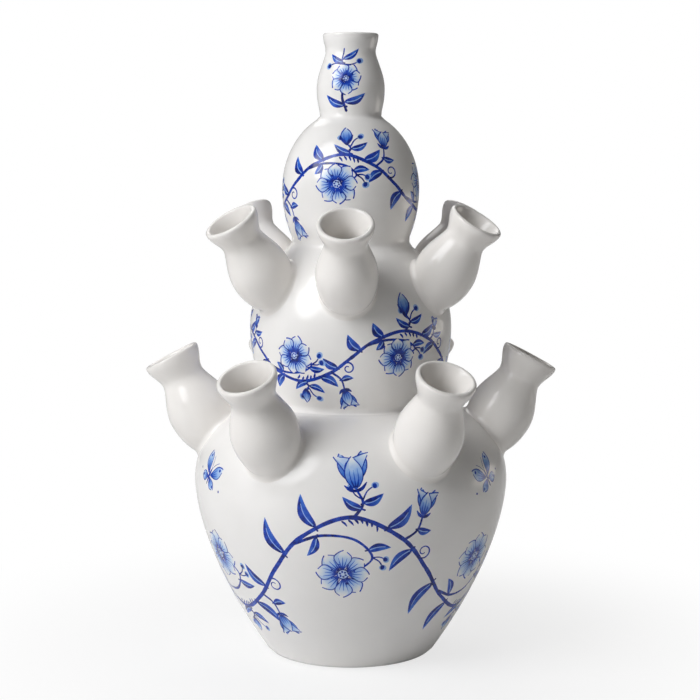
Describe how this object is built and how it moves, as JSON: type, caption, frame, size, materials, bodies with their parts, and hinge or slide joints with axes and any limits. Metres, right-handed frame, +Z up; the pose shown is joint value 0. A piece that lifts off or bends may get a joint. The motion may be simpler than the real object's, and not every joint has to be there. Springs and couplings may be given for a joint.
{
  "type": "tulip vase",
  "caption": "Tall tiered porcelain flower vase: stacked hollow globes on a wide belly, ringed with small vase-shaped spouts for single stems, painted in blue under a clear glaze.",
  "frame": {"origin": "middle of the foot, on the surface that the vase stands on", "axes": "+Z up along the vase's axis; -Y towards the front, where one middle spout faces the viewer"},
  "size_m": [0.2335, 0.21, 0.35],
  "materials": {
    "painted_glaze": "gloss",
    "white_glaze": "gloss"
  },
  "bodies": {
    "root": {"lower_body": "painted_glaze", "middle_globe": "painted_glaze", "upper_globe": "painted_glaze", "top_nozzle": "painted_glaze", "lower_spout_1": "white_glaze", "lower_spout_2": "white_glaze", "lower_spout_3": "white_glaze", "lower_spout_4": "white_glaze", "lower_spout_5": "white_glaze", "lower_spout_6": "white_glaze", "middle_spout_1": "white_glaze", "middle_spout_2": "white_glaze", "middle_spout_3": "white_glaze", "middle_spout_4": "white_glaze", "middle_spout_5": "white_glaze", "middle_spout_6": "white_glaze"}
  },
  "joints": []
}
